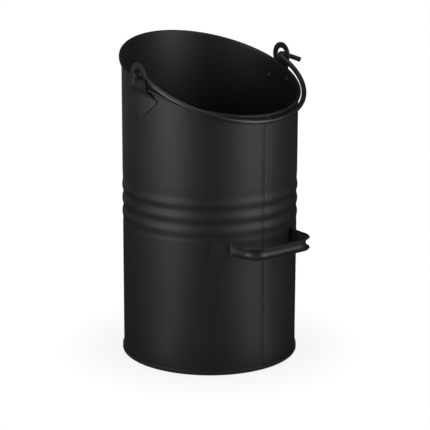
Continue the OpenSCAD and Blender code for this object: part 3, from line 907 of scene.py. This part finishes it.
# %% Floor
FLOOR_R, FLOOR_DROP = 30, 0.0002
SHADOW_NEAR, SHADOW_FAR, SHADOW_SHARE = 0.11, 0.2, 0.13


def floor_disc():
    """A filled ring of points 30 m out, a hair below the foot."""
    a = np.radians(np.arange(0, 360, 5))
    ring = np.stack([FLOOR_R * np.cos(a), FLOOR_R * np.sin(a), 0 * a - FLOOR_DROP], -1)
    mesh = bpy.data.meshes.new("studio_floor")
    mesh.from_pydata(ring.tolist(), [], [list(range(len(a)))])
    floor = bpy.data.objects.new("studio_floor", mesh)
    bpy.context.scene.collection.objects.link(floor)
    return floor


def white_floor():
    """White to the backdrop's rays, less a share of the lit floor that is greatest under the
    foot and runs out to nothing at SHADOW_FAR. Plain matt white to all other rays."""
    paper = Finish("studio_paper")
    paper.set(Base_Color=(0.8, 0.8, 0.8, 1), Roughness=0.9)
    glow = paper.node("Emission", None, {"Color": (1, 1, 1, 1), "Strength": 1.0})
    length = paper.node("VectorMath", {"operation": "LENGTH"}, {0: paper.place})
    near = 1 - Value(paper, length.outputs["Value"]).limited(SHADOW_NEAR, SHADOW_FAR)
    blend = paper.backdrop_rays() * (1 - near * SHADOW_SHARE)
    inputs = {0: blend, 1: paper.shader.outputs[0], 2: glow.outputs[0]}
    mix = paper.node("MixShader", None, inputs)
    paper.feed(paper.tree.nodes["Material Output"].inputs["Surface"], mix.outputs[0])
    return paper.material


floor_disc().data.materials.append(white_floor())

# %% World
WORLD_LEVEL = 0.12

world = bpy.data.worlds.new("studio")
bpy.context.scene.world = world
world.use_nodes = True
air = Nodes(world.node_tree)
sky = air.tree.nodes["Background"]
air.feed(sky.inputs["Color"], (1, 1, 1, 1))
strength = air.backdrop_rays().limited(0, 1) * (1 - WORLD_LEVEL) + WORLD_LEVEL
air.feed(sky.inputs["Strength"], strength)

# %% [markdown]
# ## Lamps
# On a satin cylinder the lamps show as upright bands. The photograph has one on each side and a
# dark middle, so two tall softboxes stand well to the sides. A weak one overhead lights the rim,
# the floor and the inside of the mouth, and a small one behind keeps the far side readable.

# %% Lamps
VIEW_AZ, VIEW_EL = math.radians(-39.07), math.radians(14.98)


def softbox(name, azimuth, elevation, distance, width, height, power, aim=(0, 0, 0.2)):
    """An area lamp at an azimuth from the camera's own, in degrees, turned to face the aim."""
    a, e = VIEW_AZ + math.radians(azimuth), math.radians(elevation)
    back = Vector((math.sin(a) * math.cos(e), -math.cos(a) * math.cos(e), math.sin(e)))
    data = bpy.data.lights.new(name, "AREA")
    data.shape, data.size, data.size_y, data.energy = "RECTANGLE", width, height, power
    lamp = bpy.data.objects.new(name, data)
    lamp.location = Vector(aim) + back * distance
    lamp.rotation_mode = "QUATERNION"
    lamp.rotation_quaternion = back.to_track_quat("Z", "Y")
    lamp.visible_camera = False
    bpy.context.scene.collection.objects.link(lamp)
    print(f"{name}: {power} W at {distance} m")


# Degrees from the camera and above the floor, then metres away, wide and high, then watts.
softbox("left_softbox", -51, 9, 1.05, 0.55, 1.0, 6.2)
softbox("right_softbox", 55, 9, 1.05, 0.5, 1.0, 5.2)
softbox("top_softbox", -10, 72, 1.3, 0.9, 0.9, 2.2, aim=(0, 0, 0.35))
softbox("rear_softbox", 180, 0, 0.6, 0.35, 0.3, 0.5, aim=(0, 0, 0.16))

# %% [markdown]
# ## Cards round the set
# A satin coat mirrors its surroundings, and near the edges of the cylinder and in the valleys of
# the beads it mirrors them strongly, so white paper there would make every edge glow. A
# photographer stands dark cards beside the product for this. Here upright flags do the same, level
# cards just over the floor take the paper's place outside the lamps' bands, two short ones close
# the gap at the foot, and a ring high up takes the sky's. The camera doesn't see any of them, and
# they cast no shadow.

# %% Cards
CARD_LIFT = 0.0001


def card_finish(name, tone):
    """Matt card of one grey tone."""
    card = Finish(name)
    card.set(Base_Color=(tone, tone, tone, 1), Roughness=0.9, Specular_IOR_Level=0.1)
    return card.material


BLACK_CARD = card_finish("black_card", 0.045)
DARK_CARD = card_finish("dark_card", 0.12)
GREY_CARD = card_finish("grey_card", 0.5)


def hidden_card(name, points, quads, finish):
    """An object of flat faces, which neither the camera nor the shadows see."""
    mesh = bpy.data.meshes.new(name)
    mesh.from_pydata(points.tolist(), [], quads)
    card = bpy.data.objects.new(name, mesh)
    bpy.context.scene.collection.objects.link(card)
    card.visible_camera = False
    card.visible_shadow = False
    card.data.materials.append(finish)
    return card


def flag(name, azimuth, distance, width, height, finish):
    """A card that stands on the floor at an azimuth from the camera's own and faces the
    bucket."""
    a = VIEW_AZ + math.radians(azimuth)
    foot = np.array([math.sin(a), -math.cos(a), 0]) * distance
    side = np.array([math.cos(a), math.sin(a), 0]) * width / 2
    up = np.array([0, 0, height])
    points = np.array([foot - side, foot + side, foot + side + up, foot - side + up])
    hidden_card(name, points, [(0, 1, 2, 3)], finish)


def level_card(name, start, end, inner, outer, height=CARD_LIFT):
    """A level black card: a part of a ring round the axis between two azimuths from the camera's
    own. It is left out of the soft light, so that it only darkens what the coat mirrors."""
    a = VIEW_AZ + np.radians(np.linspace(start, end, 48))
    ring = np.stack([np.sin(a), -np.cos(a), 0 * a], -1)
    points = np.concatenate([ring * inner, ring * outer]) + [0, 0, height]
    quads = grid_quads(2, len(a), False, False).tolist()
    hidden_card(name, points, quads, BLACK_CARD).visible_diffuse = False


# Degrees from the camera, then metres away, wide and high.
flag("left_flag", -106, 0.9, 0.6, 1.6, DARK_CARD)
flag("left_grey_flag", -141, 0.9, 0.5, 1.6, GREY_CARD)
flag("right_flag", 122, 0.9, 1.1, 1.6, DARK_CARD)
flag("rear_flag", 180, 0.95, 1.2, 1.6, BLACK_CARD)
flag("front_flag", 0, 1.1, 0.7, 1.6, BLACK_CARD)

# Degrees from the camera at both ends, then the inner and the outer radius in metres.
level_card("front_table_card", -32, 32, 0.114, 1.15)
level_card("rear_table_card", 66, 308, 0.114, 1.15)
level_card("left_foot_card", -52, -32, 0.114, 0.16)
level_card("right_foot_card", 32, 66, 0.114, 0.16)
level_card("canopy_card", 0, 360, 0.55, 2.4, height=1.5)

# %% [markdown]
# ## The camera
# The camera was fitted to the photograph's outline: it stands 2.2 m away, so the upright sides
# look nearly parallel, and a small shift puts the bucket where the photograph has it.

# %% Camera
AIM, DISTANCE, ROLL = Vector((0, 0, 0.2)), 2.22628, 0.00255942
IMAGE_PX, FOCAL_PX, CENTRE_PX = 430, 1741.63, (209.772, 197.196)
SENSOR_MM = 36


def photo_camera():
    """Camera at the fitted azimuth, elevation, distance and roll, looking at the aim. Its lens is
    the sensor's width times the focal length over the image's width, both in pixels."""
    flat = math.cos(VIEW_EL)
    back = Vector((math.sin(VIEW_AZ) * flat, -math.cos(VIEW_AZ) * flat, math.sin(VIEW_EL)))
    right = Vector((math.cos(VIEW_AZ), math.sin(VIEW_AZ), 0))
    up = back.cross(right)
    data = bpy.data.cameras.new("photo_camera")
    camera = bpy.data.objects.new("photo_camera", data)
    bpy.context.scene.collection.objects.link(camera)
    side = right * math.cos(ROLL) + up * math.sin(ROLL)
    top = up * math.cos(ROLL) - right * math.sin(ROLL)
    turn = Matrix((side, top, back)).transposed().to_4x4()
    camera.matrix_world = Matrix.Translation(AIM + back * DISTANCE) @ turn
    data.sensor_width = SENSOR_MM
    data.lens = SENSOR_MM * FOCAL_PX / IMAGE_PX
    data.shift_x = (IMAGE_PX / 2 - CENTRE_PX[0]) / IMAGE_PX
    data.shift_y = (CENTRE_PX[1] - IMAGE_PX / 2) / IMAGE_PX
    data.clip_start, data.clip_end = 0.05, 100
    bpy.context.scene.camera = camera
    print(f"camera: lens {data.lens:.1f} mm, {DISTANCE:.2f} m from its aim")


photo_camera()
bpy.context.scene.view_settings.view_transform = "Standard"
